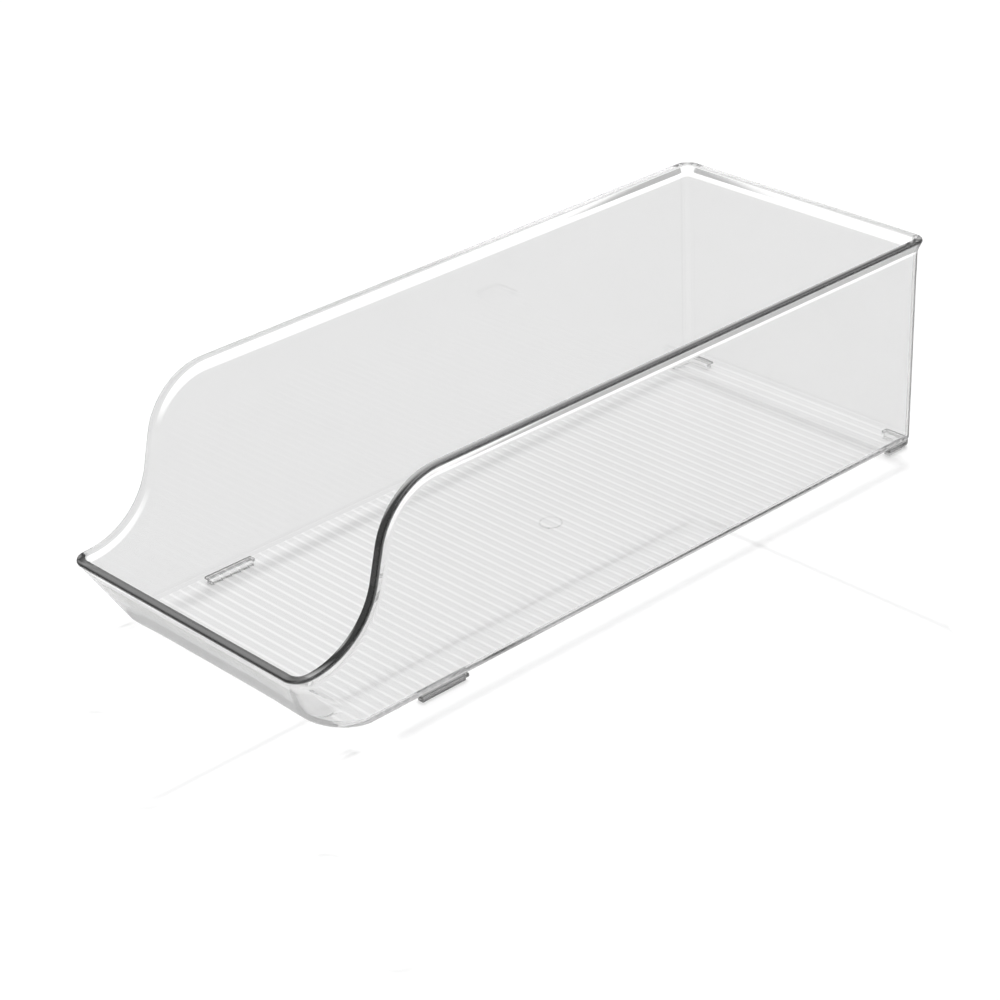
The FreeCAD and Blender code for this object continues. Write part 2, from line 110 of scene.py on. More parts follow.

# Light mirrored inside the plastic more often than this is caught and replaced by a painted glow: its
# grey by depth below the rim
CAUGHT_AFTER = 1.5
CAUGHT_REACH = 34 * MM
CAUGHT_GREYS = ((0.0, 0.2), (0.12, 0.25), (0.2, 0.6), (0.29, 0.47), (0.325, 0.33),
                (0.352, 0.2), (0.37, 0.03), (0.5, 0.02), (0.8, 0.5), (1.0, 0.4))

# How grazed a face is, from 0 to 1, where the painted shade of back corners begins and is full, and
# where faces near the rim begin and end dimming lamps
CORNER_START, CORNER_FULL = 0.4, 0.5
DIM_START, DIM_FULL = 0.5, 0.65

# Plastic below this share of the feet's height counts as foot
FOOT_SHARE = 0.8

# Patches of haze and slow waves in a metre, and the noise's values where haze begins and is full
HAZE_SCALE = 30.0
WAVE_SCALE = 18.0
HAZE_START, HAZE_FULL = 0.45, 0.75

# Radians that the wave texture makes of one unit of length
WAVE_RADIANS = 20

# Painted light: glow given to the floor's top face, and more to the crests of its ribs as painted
# highlights
PAINTED_FLOOR_GLOW = 0.07
PAINTED_CREST_GLOW = 0.19

# From valley, 0, to crest, 1, where a rib's painted glow begins and is full, and where it begins and
# ends letting lamps through
CREST_START, CREST_FULL = 0.7, 0.97
PASS_START, PASS_FULL = 0.6, 0.95

# How far feet and gate mark reach into the floor, feet stay inside the wall's foot, and the
# floor's field of ribs stays off the bends
FOOT_OVERLAP = 0.3 * MM
GATE_OVERLAP = 0.1 * MM
WALL_MARGIN = 0.4 * MM
FIELD_MARGIN = 0.4 * MM

# Rounding of the gate mark, and a length too small to matter
GATE_ROUND = 0.25 * MM
HAIR = 0.001 * MM

# Steps round the corner of a back foot, and round the gate mark
CORNER_STEPS = 8
GATE_STEPS = 48

# Degrees of turn from which a bar's edge is rounded, and from which the tray's is shaded sharp
BAR_EDGE = 50
SHARP_EDGE = 40

# Facing of the surface, 0 seen from above and 1 seen level, where its painted window light starts, is
# full, is last full, and has given way to painted dusk
GLOW_START, GLOW_FULL, GLOW_LAST, DUSK = 0.64, 0.71, 0.873, 0.881

# Grey of the room as the plastic shows it, from level or below, 0, to straight up, 1
ROOM_GREYS = ((0.0, 0.55), (0.5, 0.55), (0.85, 0.4), (0.95, 1.0))

# Directions of the lights from the tray, and half the side of the table top in metres
KEY_PLACE = (-1.17, 1.19, 1.0)
TOP_PLACE = (-0.1, 0.17, 1.0)
TABLE_HALF = 6.0


# Settings


def length(name, description, millimetres):
    return FloatProperty(name=name, description=description, default=millimetres * MM,
                         unit="LENGTH", precision=4)


def angle(name, description, degrees):
    return FloatProperty(name=name, description=description, default=math.radians(degrees),
                         unit="ROTATION")


def factor(name, description, default):
    return FloatProperty(name=name, description=description, default=default, min=0.0)


def colour(name, description, default):
    return FloatVectorProperty(name=name, description=description, default=default,
                               subtype="COLOR", size=3, min=0.0, max=1.0)


class TraySizes(bpy.types.PropertyGroup):
    """Sizes of the moulding, as its drawing gives them."""

    length: length("Length", "Over the rim, front to back", 368)
    width: length("Width", "Over the rim, side to side", 146)
    height: length("Height", "Surface to the top of the rim", 103)
    lip_height: length("Lip height", "Surface to the top of the front lip", 39)
    wall: length("Wall", "Side, back and front walls", 2)
    floor: length("Floor", "Floor between its ribs", 2.2)
    draft: angle("Draft", "Lean of the side and back walls", 0.5)
    front_slant: angle("Front slant", "Lean of the front wall from upright", 28)
    back_corner: length("Back corner", "Outside of the back corners, in plan", 5)
    lip_corner: length("Lip corner", "Outside of the front corners at the lip, in plan", 6)
    floor_corner: length("Floor corner", "Outside of the front corners at the floor, in plan", 22)
    side_bend: length("Side bend", "Outside of the bend from floor to side and back walls", 3)
    front_bend: length("Front bend", "Outside of the bend from floor to front wall", 21)
    bend_filling: factor("Bend filling", "Extra inner radius of the bends, by their outer one", 0.4)
    curve_lower: length("Lower curve", "Hollow part of the side walls' falling edge", 36.5)
    curve_upper: length("Upper curve", "Round part of the side walls' falling edge", 30.5)
    steepness: angle("Steepness", "Steepest slope of the falling edge", 76)
    rim: length("Rim", "Width and depth of the rim bead", 4)
    rim_inner_round: length("Rim inner rounding", "Top inner edge of the rim", 0.7)
    rim_outer_round: length("Rim outer rounding", "Top outer edge of the rim", 1.0)
    rim_taper: angle("Rim taper", "Slope of the bead's outer side, against the wall", 25)
    rim_root: length("Rim root", "Radius of the hollow between the bead and the wall", 7)
    foot_height: length("Foot height", "Surface to the underside of the floor", 3.2)
    foot_thickness: length("Foot thickness", "Stacking part of a foot", 3)
    foot_line: length("Foot line", "Middle to the outside of a foot's stacking part", 68.6)
    foot_back: length("Foot back", "Middle to the back of a rear foot's stacking part", 179.6)
    step_level: length("Step level", "Surface to the shoulder of a foot", 2.0)
    end_step: length("End step", "Shoulder past the stacking part at each end", 0.8)
    foot_round: length("Foot rounding", "Rounding of the feet's edges", 0.25)
    front_foot_start: length("Front foot start", "Front of the lip to a front foot", 63.5)
    front_foot_length: length("Front foot length", "Front foot, front to back", 24.8)
    back_foot_leg: length("Back foot leg", "Each leg of an L-shaped back foot", 16)
    rib_pitch: length("Rib pitch", "One floor rib to the next", 4.8)
    rib_width: length("Rib width", "Floor rib at its root", 1.6)
    rib_height: length("Rib height", "Floor rib above the floor", 0.08)
    rib_half: length("Rib half length", "Middle to the end of a rib", 63.2)
    rib_front: length("First rib", "Middle to the first rib, forwards", 146.47)
    rib_count: IntProperty(name="Ribs", description="Ribs across the floor", default=67, min=1)
    gate_diameter: length("Gate diameter", "Gate mark under the floor", 10)
    gate_height: length("Gate height", "Gate mark below the floor", 0.4)
    gate_right: length("Gate right", "Gate mark right of the middle", 4.5)
    gate_back: length("Gate back", "Gate mark behind the middle", 12.5)


class TrayFinish(bpy.types.PropertyGroup):
    """How the clear plastic looks."""

    tint: colour("Tint", "Colour of light that has passed a surface", (0.985, 0.985, 0.985))
    # Painted shade: this colour takes the tint's place at the rim's top outer edge, and in part on
    # the lip, the feet's shoulders and grazed back corners
    painted_edge_shade: colour("Edge tint", "The same at the top outer edge of the rim", (0.01, 0.01, 0.01))
    shade: colour("Shade", "Lamp light that has passed a surface squarely", (0.985, 0.985, 0.985))
    edge_shade: colour("Edge shade", "Lamp light that has grazed a surface", (0.15, 0.15, 0.15))
    foot_shade: colour("Foot shade", "Lamp light that has passed a foot's surface", (0.6, 0.6, 0.6))
    between_ribs: colour("Between ribs", "Lamp light that has passed the floor between ribs",
                         (0.96, 0.96, 0.96))
    refraction: factor("Refraction", "Index of refraction of the plastic", 1.5)
    polish: factor("Polish", "Roughness where the mould was best polished", 0.0)
    haze: factor("Haze", "Roughness where the mould was least polished", 0.015)
    waviness: factor("Waviness", "Strength of the slow waves in the moulded faces", 0.05)


class TrayStage(bpy.types.PropertyGroup):
    """Camera, light and surface."""

    azimuth: angle("Azimuth", "Camera's turn to the right of the front", 47.818)
    elevation: angle("Elevation", "Camera's height above the horizon", 28.004)
    roll: angle("Roll", "Camera's turn about its own line of sight", -2.646)
    distance: length("Distance", "Camera to the middle of the tray", 1171.735)
    focal: length("Focal length", "Of the lens, on a sensor 36 mm wide", 98.817)
    aim_height: length("Aim height", "Height of the point that the camera is set by", 50)
    aim_across: factor("Aim across", "Place of that point in the image, from its left side", 0.517451)
    aim_down: factor("Aim down", "Place of that point in the image, from its top", 0.435051)
    key_strength: factor("Key strength", "Strength of the low light behind on the left", 1.2)
    key_softness: angle("Key softness", "Width of that light in the sky", 0.4)
    top_strength: factor("Top strength", "Strength of the soft light overhead", 2.1)
    top_softness: angle("Top softness", "Width of that light in the sky", 4)
    fill: factor("Fill", "Strength of the soft light from all round", 0.2)
    seen_lift: factor("Seen lift", "White added to the surface where the camera sees it", 0.27)
    # Painted light on the surface, seen only through the plastic, behind the tray on the left
    window: factor("Window", "White added to it where plastic shows it at a low angle", 0.35)
    window_edge: length("Window edge", "Middle of the tray to that white, back on the left", 20)
    surface: factor("Surface", "Grey of the surface under the tray", 0.8)
    # Painted shade on the surface, seen only through the plastic when nearly level
    low_surface: factor("Low surface", "The same, where plastic shows it nearly level", 0.5)


def sizes():
    return bpy.context.scene.can_tray_sizes


def finish():
    return bpy.context.scene.can_tray_finish


def stage():
    return bpy.context.scene.can_tray_stage


# The moulding's form


class Form:
    """One face of the moulding, outer or inner: leaning walls, round corners and a bent foot."""

    def __init__(self, size, inset=0.0):
        self.size = size
        self.inset = inset
        self.front_inset = inset / math.cos(size.front_slant)
        self.floor = size.foot_height + (size.floor if inset else 0.0)
        self.top = size.height - size.rim
        self.lip = size.lip_height - size.rim

    def half_width(self, level):
        lean = (self.top - level) * math.tan(self.size.draft)
        return (self.size.width - self.size.rim) / 2 - lean - self.inset

    def back(self, level):
        lean = (self.top - level) * math.tan(self.size.draft)
        return (self.size.length - self.size.rim) / 2 - lean - self.inset

    def front(self, level):
        lean = (self.lip - level) * math.tan(self.size.front_slant)
        return lean - (self.size.length - self.size.rim) / 2 + self.front_inset

    def front_radius(self, level):
        share = (level - self.size.foot_height) / (self.lip - self.size.foot_height)
        radius = self.size.floor_corner + (self.size.lip_corner - self.size.floor_corner) * share
        return radius - self.inset

    def point(self, station, level):
        """Where the wall stands at this station and level."""
        half = self.half_width(level)
        front = self.front(level)
        front_radius = self.front_radius(level)
        back_radius = self.size.back_corner - self.inset
        if station.zone == FRONT:
            return Vector((station.share * (half - front_radius), front, level))
        if station.zone == FRONT_CORNER:
            centre = Vector((half - front_radius, front + front_radius, level))
            return centre + station.normal * front_radius
        if station.zone == SIDE:
            start = front + front_radius
            along = station.bead.y
            if station.share < 1:
                along = start + (SPREAD_END - start) * station.share
            return Vector((half, along, level))
        if station.zone == BACK_CORNER:
            centre = Vector((half - back_radius, self.back(level) - back_radius, level))
            return centre + station.normal * back_radius
        return Vector((station.share * (half - back_radius), self.back(level), level))

    def lean(self, station):
        """How far the wall leans outwards here."""
        rise = self.point(station, self.floor + MM) - self.point(station, self.floor)
        return math.atan(rise.dot(station.normal) / MM)

    def bend(self, station):
        """From the flat floor up round the bend to the foot of the wall."""
        tilt = self.lean(station)
        radius = station.bend - self.inset
        if self.inset:
            radius += self.size.bend_filling * station.bend
        foot = self.point(station, self.floor + radius * (1 - math.sin(tilt)))
        centre = foot - radius * (station.normal * math.cos(tilt) - UP * math.sin(tilt))
        turns = [(math.pi / 2 - tilt) * step / BEND_STEPS for step in range(BEND_STEPS + 1)]
        return [centre + radius * (station.normal * math.sin(turn) - UP * math.cos(turn))
                for turn in turns]


class Station:
    """One place on the outline, with the bead's middle and the way that its section points.

    Its share is how far along its zone it is, or at a corner its turn in degrees.
    """

    def __init__(self, zone, share, normal, bead, up=UP, bend=0.0):
        self.zone = zone
        self.share = share
        self.normal = normal
        self.bead = bead
        self.up = up
        self.bend = bend
        # How much of the painted shade of grazed back corners this station gets, none midway round
        # the corner
        self.corner = 0.0
        if zone == BACK_CORNER and 0 < share < 90:
            self.corner = abs(math.cos(math.radians(2 * share)))


def turned(degrees):
    """Level direction at this turn from +X towards +Y."""
    radians = math.radians(degrees)
    return Vector((math.cos(radians), math.sin(radians), 0))


def falling_edge(size):
    """The bead's middle down the side wall as (y, level, slope), from the lip to the top."""
    steep = size.steepness
    start = (size.rim - size.length) / 2 + size.lip_corner
    low = size.lip_height - size.rim / 2
    high = size.height - size.rim / 2
    lower = size.curve_lower
    upper = size.curve_upper
    slopes = [steep * step / CURVE_STEPS for step in range(CURVE_STEPS + 1)]
    hollow = [(start + lower * math.sin(slope), low + lower * (1 - math.cos(slope)), slope)
              for slope in slopes]
    end_y, end_level, _ = hollow[-1]
    rise = high - upper * (1 - math.cos(steep)) - end_level
    round_start = end_y + rise / math.tan(steep)
    crest = round_start + upper * math.sin(steep)
    crown = [(crest - upper * math.sin(slope), high - upper * (1 - math.cos(slope)), slope)
             for slope in reversed(slopes)]
    return hollow + crown


def smooth_step(share):
    return share * share * (3 - 2 * share)


def half_outline(size):
    """Stations from the middle of the front, round the right side, to the middle of the back.

    The front wall's big bend shrinks to the side walls' small one on the way round the corner.
    """
    stations = []
    outer = Form(size)
    low = size.lip_height - size.rim / 2
    high = size.height - size.rim / 2
    front = (size.rim - size.length) / 2
    back = -front
    lip_half = outer.half_width(outer.lip) - size.lip_corner
    corner_bend = CORNER_BEND * size.front_bend
    for share in LIP_SHARES:
        ease = smooth_step(min(1.0, (1 - share) / BEND_EASE))
        bend = corner_bend + (size.front_bend - corner_bend) * ease
        middle = Vector((share * lip_half, front, low))
        stations.append(Station(FRONT, share, turned(-90), middle, bend=bend))
    for turn in range(-90, 1, FRONT_TURN):
        normal = turned(turn)
        middle = Vector((lip_half, front + size.lip_corner, low)) + normal * size.lip_corner
        ease = smooth_step(-turn / 90)
        bend = size.side_bend + (corner_bend - size.side_bend) * ease
        stations.append(Station(FRONT_CORNER, turn, normal, middle, bend=bend))
    start = front + size.lip_corner
    lean = math.tan(size.draft)
    edge = falling_edge(size)[1:]
    crest = edge[-1][0]
    tail = back - size.back_corner
    edge += [(crest + (tail - crest) * share, high, 0.0) for share in SIDE_SHARES]
    for y, level, slope in edge:
        share = min(1.0, (y - start) / (SPREAD_END - start))
        x = (size.width - size.rim) / 2 - (high - level) * lean
        up = Vector((lean * math.cos(slope), -math.sin(slope), math.cos(slope)))
        stations.append(Station(SIDE, share, turned(0), Vector((x, y, level)), up, size.side_bend))
    side = (size.width - size.rim) / 2
    for turn in range(0, 91, BACK_TURN):
        normal = turned(turn)
        middle = Vector((side - size.back_corner, tail, high)) + normal * size.back_corner
        stations.append(Station(BACK_CORNER, turn, normal, middle, bend=size.side_bend))
    for share in BACK_SHARES:
        middle = Vector((share * (side - size.back_corner), back, high))
        stations.append(Station(BACK, share, turned(90), middle, bend=size.side_bend))
    return stations


def bead_section(size, lean, painted_top_shade=0.0):
    """The bead's outline from its middle, from the inner wall to the outer, on a leaning wall.

    Each place is (outwards, upwards, edge). Edge is how much painted shade its plastic gets: 1 round
    the top outer edge, and the given top share on the top face. The outer side tapers in below and
    runs out in a hollow on the wall.
    """
    half = size.rim / 2
    soft = size.rim_inner_round
    bend = size.rim_outer_round
    slanted = lean / size.front_slant
    taper = size.rim_taper * (1 - FRONT_TAPER_LOSS * slanted)
    root = size.rim_root * (1 - FRONT_ROOT_LOSS * slanted)
    steepest = lean + taper
    places = [(-half, -half, 0.0)]
    for step in range(ROUND_STEPS + 1):
        turn = math.pi / 2 * step / ROUND_STEPS
        places.append((soft - half - soft * math.cos(turn), half - soft + soft * math.sin(turn),
                       painted_top_shade * step / ROUND_STEPS))
    for step in range(ROUND_STEPS + 1):
        turn = (math.pi / 2 + steepest) * step / ROUND_STEPS
        edge = min(1.0, EDGE_FULLNESS * math.sin(math.pi * step / ROUND_STEPS))
        if not step:
            edge = painted_top_shade
        places.append((half - bend + bend * math.sin(turn), half - bend + bend * math.cos(turn),
                       edge))
    across, up, _ = places[-1]
    stand = across * math.cos(lean) - (up + half) * math.sin(lean)
    slant = (stand - root * (1 - math.cos(taper))) / math.sin(taper)
    across -= slant * math.sin(steepest)
    up -= slant * math.cos(steepest)
    middle = (across + root * math.cos(steepest), up - root * math.sin(steepest))
    for step in range(ROOT_STEPS + 1):
        turn = steepest - taper * step / ROOT_STEPS
        places.append((middle[0] - root * math.cos(turn), middle[1] + root * math.sin(turn), 0.0))
    return places


def between(first, last):
    """Places on the way from first to last, without either."""
    return [first.lerp(last, step / WALL_STEPS) for step in range(1, WALL_STEPS)]


def section(size, station):
    """One slice through the wall, from the inner floor over the bead to the underside."""
    inside = Form(size, size.wall).bend(station)
    outside = Form(size).bend(station)
    lean = Form(size).lean(station)
    bead = [station.bead + station.normal * across + station.up * up
            for across, up, _ in bead_section(size, lean)]
    outside.reverse()
    return inside + between(inside[-1], bead[0]) + bead + between(bead[-1], outside[0]) + outside


def painted_shade_marks(size, station):
    """For each place of a section, how much painted shade its plastic gets: most round the top outer
    edge.
    """
    slanted = Form(size).lean(station) / size.front_slant
    plain = [0.0] * (BEND_STEPS + WALL_STEPS)
    return plain + [edge for _, _, edge in bead_section(size, 0.0, LIP_DARK * slanted)] + plain


def depth_below(size, station, place):
    """How far a place lies below the rim, which sets the painted glow of caught light; where the rim
    falls steeply, as deep as that painted glow is darkest.
    """
    below = station.bead - place
    depth = below.y * station.up.y + below.z * station.up.z + size.rim / 2
    behind_lip = station.bead.y - (size.rim - size.length) / 2 - size.lip_corner
    depth += FRONT_DEEPER * min(1.0, max(0.0, 1 - behind_lip / FRONT_FADE))
    return depth + (DARK_DEPTH - depth) * station.up.y ** 2


# Mesh tools


def grow_ring(bm, ring, places):
    """Extrude a closed ring of vertices to new places and return the new ring."""
    edges = [bm.edges.get(pair) for pair in zip(ring, ring[1:] + ring[:1])]
    made = set(bmesh.ops.extrude_edge_only(bm, edges=edges)["geom"])
    grown = []
    for vert, place in zip(ring, places):
        other = next(edge.other_vert(vert) for edge in vert.link_edges
                     if edge.other_vert(vert) in made)
        other.co = place
        grown.append(other)
    return grown


def fill_ring(bm, ring):
    """Close a ring with a face and return it in a list."""
    edges = [bm.edges.get(pair) for pair in zip(ring, ring[1:] + ring[:1])]
    return bmesh.ops.contextual_create(bm, geom=edges)["faces"]


def new_object(bm, name):
    """The mesh as an object, with its faces turned outwards and in the same order each run."""
    bmesh.ops.recalc_face_normals(bm, faces=bm.faces)
    bm.verts.index_update()
    in_order = sorted(bm.faces, key=lambda face: sorted(vert.index for vert in face.verts))
    rank = {face: place for place, face in enumerate(in_order)}
    bm.faces.sort(key=rank.get)
    mesh = bpy.data.meshes.new(name)
    bm.to_mesh(mesh)
    bm.free()
    made = bpy.data.objects.new(name, mesh)
    bpy.context.collection.objects.link(made)
    return made


def weld_on(bm, name, nodes):
    """Join the mesh to the tray as one body, with no faces left inside."""
    tray = bpy.data.objects[TRAY]
    tool = new_object(bm, name)
    join = tray.modifiers.new("Weld", "BOOLEAN")
    join.operation = "UNION"
    join.solver = "MANIFOLD"
    join.object = tool
    whole = bpy.data.meshes.new_from_object(tray.evaluated_get(bpy.context.evaluated_depsgraph_get()))
    if len(whole.polygons) == len(tray.data.polygons):
        raise RuntimeError(f"{name} was not joined to the tray")
    tray.modifiers.remove(join)
    tray.data = whole
    bpy.data.objects.remove(tool)
    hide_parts(*nodes)


def sharpen(bm):
    """Mark edges that turn much as sharp."""
    for edge in bm.edges:
        if edge.is_manifold and edge.calc_face_angle() > math.radians(SHARP_EDGE):
            edge.smooth = False


# Shader tools


def feed(tree, socket, value):
    """Set a socket to a value, or link it to the output of a node."""
    if isinstance(value, bpy.types.NodeSocket):
        tree.links.new(value, socket)
    else:
        socket.default_value = value


def calculate(tree, operation, *values, clamp=False):
    """The outcome of a sum, product or test of these values."""
    node = tree.nodes.new("ShaderNodeMath")
    node.operation = operation
    node.use_clamp = clamp
    for socket, value in zip(node.inputs, values):
        feed(tree, socket, value)
    return node.outputs["Value"]


def remap(tree, value, lowest, highest, first=0.0, last=1.0):
    """Carry a value between two bounds over to another pair."""
    node = tree.nodes.new("ShaderNodeMapRange")
    names = ("Value", "From Min", "From Max", "To Min", "To Max")
    for name, given in zip(names, (value, lowest, highest, first, last)):
        feed(tree, node.inputs[name], given)
    return node.outputs["Result"]


def colour_ramp(tree, stops, value):
    """The colour of a ramp at this value, with stops given as (position, colour)."""
    ramp = tree.nodes.new("ShaderNodeValToRGB")
    elements = ramp.color_ramp.elements
    while len(elements) < len(stops):
        elements.new(0.5)
    for element, (position, shown) in zip(elements, stops):
        element.position = position
        element.color = (*shown, 1)
    tree.links.new(value, ramp.inputs["Fac"])
    return ramp.outputs["Color"]


def grey_ramp(tree, stops, value):
    """The same with stops given as (position, grey)."""
    return colour_ramp(tree, [(position, (grey, grey, grey)) for position, grey in stops], value)


def mix_colours(tree, share, first, second):
    """The first colour where the share is 0, the second where it is 1."""
    node = tree.nodes.new("ShaderNodeMix")
    node.data_type = "RGBA"
    for name, value in (("Factor", share), ("A", first), ("B", second)):
        feed(tree, node.inputs[name], value)
    return node.outputs["Result"]


def mix_shaders(tree, share, first, second):
    """The first shader where the share is 0, the second where it is 1."""
    node = tree.nodes.new("ShaderNodeMixShader")
    for socket, value in zip(node.inputs, (share, first, second)):
        tree.links.new(value, socket)
    return node.outputs["Shader"]


def marked(tree, name):
    """What the mesh's vertices say under this name."""
    node = tree.nodes.new("ShaderNodeAttribute")
    node.attribute_name = name
    return node.outputs["Fac"]


def facing(tree):
    """0 where a face is met squarely, 1 where it is grazed."""
    node = tree.nodes.new("ShaderNodeLayerWeight")
    node.inputs["Blend"].default_value = 0.5
    return node.outputs["Facing"]


def level_of(tree, place):
    node = tree.nodes.new("ShaderNodeSeparateXYZ")
    tree.links.new(place, node.inputs["Vector"])
    return node.outputs["Z"]


def noise(tree, place, scale, detail):
    node = tree.nodes.new("ShaderNodeTexNoise")
    node.inputs["Scale"].default_value = scale
    node.inputs["Detail"].default_value = detail
    tree.links.new(place, node.inputs["Vector"])
    return node.outputs["Fac"]


# The plastic


def rib_bands(tree, place):
    """1 along the crest of each floor rib, 0 midway between two."""
    size = sizes()
    bands = tree.nodes.new("ShaderNodeTexWave")
    bands.bands_direction = "Y"
    turns = size.rib_front / size.rib_pitch + 0.25
    bands.inputs["Scale"].default_value = math.tau / (WAVE_RADIANS * size.rib_pitch)
    bands.inputs["Distortion"].default_value = 0.0
    bands.inputs["Phase Offset"].default_value = math.tau * turns
    tree.links.new(place, bands.inputs["Vector"])
    return bands.outputs["Fac"]


def painted_rib_glow(tree, place):
    """Painted light: a glow on the floor's top face, some everywhere, more along its ribs' crests as
    painted highlights.
    """
    size = sizes()
    stops = ((CREST_START, PAINTED_FLOOR_GLOW), (CREST_FULL, PAINTED_CREST_GLOW))
    crests = grey_ramp(tree, stops, rib_bands(tree, place))
    top_face = calculate(tree, "COMPARE", level_of(tree, place), size.foot_height + size.floor,
                         1.5 * size.rib_height)
    return calculate(tree, "MULTIPLY", crests, top_face)


def painted_dark_edges(tree):
    """The plastic's colour: clear, but with painted shade round the rim's top edge, on the lip, in
    the feet's shoulders and in grazed back corners.
    """
    look = finish()
    grazed = remap(tree, facing(tree), CORNER_START, CORNER_FULL, last=CORNER_DARK)
    back = calculate(tree, "MULTIPLY", marked(tree, CORNER_SHADE_MARK), grazed)
    dark = calculate(tree, "MAXIMUM", marked(tree, PAINTED_SHADE_MARK), back)
    return mix_colours(tree, dark, (*look.tint, 1), (*look.painted_edge_shade, 1))


def lamp_light(tree, place, drop):
    """What lamps keep in the plastic: most in walls, less at the rim, in feet and between ribs."""
    look = finish()
    size = sizes()
    level = level_of(tree, place)
    dim = ((DIM_START, look.shade), (DIM_FULL, look.edge_shade))
    near_rim = calculate(tree, "LESS_THAN", drop, 2 * size.rim)
    beside_edge = calculate(tree, "SUBTRACT", near_rim, marked(tree, PAINTED_SHADE_MARK), clamp=True)
    stops = ((PASS_START, look.between_ribs), (PASS_FULL, (1, 1, 1)))
    ribs = colour_ramp(tree, stops, rib_bands(tree, place))
    on_floor = calculate(tree, "LESS_THAN", level, size.foot_height + size.floor + size.rib_height)
    plain = mix_colours(tree, on_floor, (*look.shade, 1), ribs)
    whole = mix_colours(tree, beside_edge, plain, colour_ramp(tree, dim, facing(tree)))
    in_foot = calculate(tree, "LESS_THAN", level, FOOT_SHARE * size.foot_height)
    return mix_colours(tree, in_foot, whole, (*look.foot_shade, 1))


def polished(tree, place):
    """The plastic's own shader, with slow waves in its faces and a little haze in patches, painted
    shade at its edges and a painted glow on its floor.
    """
    look = finish()
    plastic = tree.nodes.new("ShaderNodeBsdfPrincipled")
    plastic.inputs["Transmission Weight"].default_value = 1.0
    plastic.inputs["IOR"].default_value = look.refraction
    plastic.inputs["Emission Color"].default_value = WHITE
    patches = noise(tree, place, HAZE_SCALE, detail=4.0)
    haze = remap(tree, patches, HAZE_START, HAZE_FULL, look.polish, look.haze)
    waves = tree.nodes.new("ShaderNodeBump")
    waves.inputs["Strength"].default_value = look.waviness
    waves.inputs["Distance"].default_value = 1.0 * MM
    tree.links.new(noise(tree, place, WAVE_SCALE, detail=1.0), waves.inputs["Height"])
    # Painted shade round the rim's edges, on the lip, in the feet's shoulders and in back corners,
    # carried in the base colour
    tree.links.new(painted_dark_edges(tree), plastic.inputs["Base Color"])
    tree.links.new(haze, plastic.inputs["Roughness"])
    tree.links.new(waves.outputs["Normal"], plastic.inputs["Normal"])
    # Painted glow of the floor and its rib crests
    tree.links.new(painted_rib_glow(tree, place), plastic.inputs["Emission Strength"])
    return plastic.outputs["BSDF"]


def painted_caught_glow(tree, drop):
    """A painted glow in place of light caught inside the wall: its grey by depth below the rim."""
    glow = tree.nodes.new("ShaderNodeEmission")
    greys = grey_ramp(tree, CAUGHT_GREYS, remap(tree, drop, 0.0, CAUGHT_REACH))
    tree.links.new(greys, glow.inputs["Color"])
    return glow.outputs["Emission"]


def clear_plastic():
    """Clear, polished plastic: what it catches becomes a painted glow by its depth, and lamps shine
    through it.
    """
    material = bpy.data.materials.new("Clear Plastic")
    material.use_nodes = True
    tree = material.node_tree
    tree.nodes.clear()
    place = tree.nodes.new("ShaderNodeTexCoord").outputs["Object"]
    path = tree.nodes.new("ShaderNodeLightPath").outputs
    drop = marked(tree, BELOW_RIM)
    # Past this many mirrorings inside the plastic, a painted glow takes the place of the light
    caught = calculate(tree, "GREATER_THAN", path["Glossy Depth"], CAUGHT_AFTER)
    seen = mix_shaders(tree, caught, polished(tree, place), painted_caught_glow(tree, drop))
    shade = tree.nodes.new("ShaderNodeBsdfTransparent")
    tree.links.new(lamp_light(tree, place, drop), shade.inputs["Color"])
    filled = mix_shaders(tree, path["Is Diffuse Ray"], seen, shade.outputs["BSDF"])
    whole = mix_shaders(tree, path["Is Shadow Ray"], filled, shade.outputs["BSDF"])
    output = tree.nodes.new("ShaderNodeOutputMaterial")
    tree.links.new(whole, output.inputs["Surface"])
    return material


# Pieces


class CANTRAY_OT_shell(bpy.types.Operator):
    """Make the tray's one clear shell: floor, ribs, walls and rim bead"""

    bl_idname = "can_tray.shell"
    bl_label = "Make Shell"

    def execute(self, context):
        size = sizes()
        stations = half_outline(size)
        around = stations + stations[-2:0:-1]
        half = [section(size, station) for station in stations]
        whole = half + [[Vector((-p.x, p.y, p.z)) for p in one] for one in reversed(half[1:-1])]
        bm = bmesh.new()
        drop = bm.verts.layers.float.new(BELOW_RIM)
        # Marks for painted shade round the rim's top edge, on the lip and in back corners
        edge = bm.verts.layers.float.new(PAINTED_SHADE_MARK)
        corner = bm.verts.layers.float.new(CORNER_SHADE_MARK)
        ring = bmesh.ops.create_circle(bm, cap_ends=False, radius=size.width,
                                       segments=len(whole))["verts"]
        for vert, one in zip(ring, whole):
            vert.co = one[0]
        first = ring
        marks = [painted_shade_marks(size, station) for station in around]
        for level in range(len(whole[0])):
            if level:
                ring = grow_ring(bm, ring, [one[level] for one in whole])
            for vert, station, mark in zip(ring, around, marks):
                vert[drop] = depth_below(size, station, vert.co)
                vert[edge] = mark[level]
                vert[corner] = station.corner
        fill_ring(bm, ring)
        floor = fill_ring(bm, first)
        raise_ribs(bm, size, floor)
        tray = new_object(bm, TRAY)
        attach(tray, "root")
        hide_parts(*SHELL_NODES)
        return {"FINISHED"}


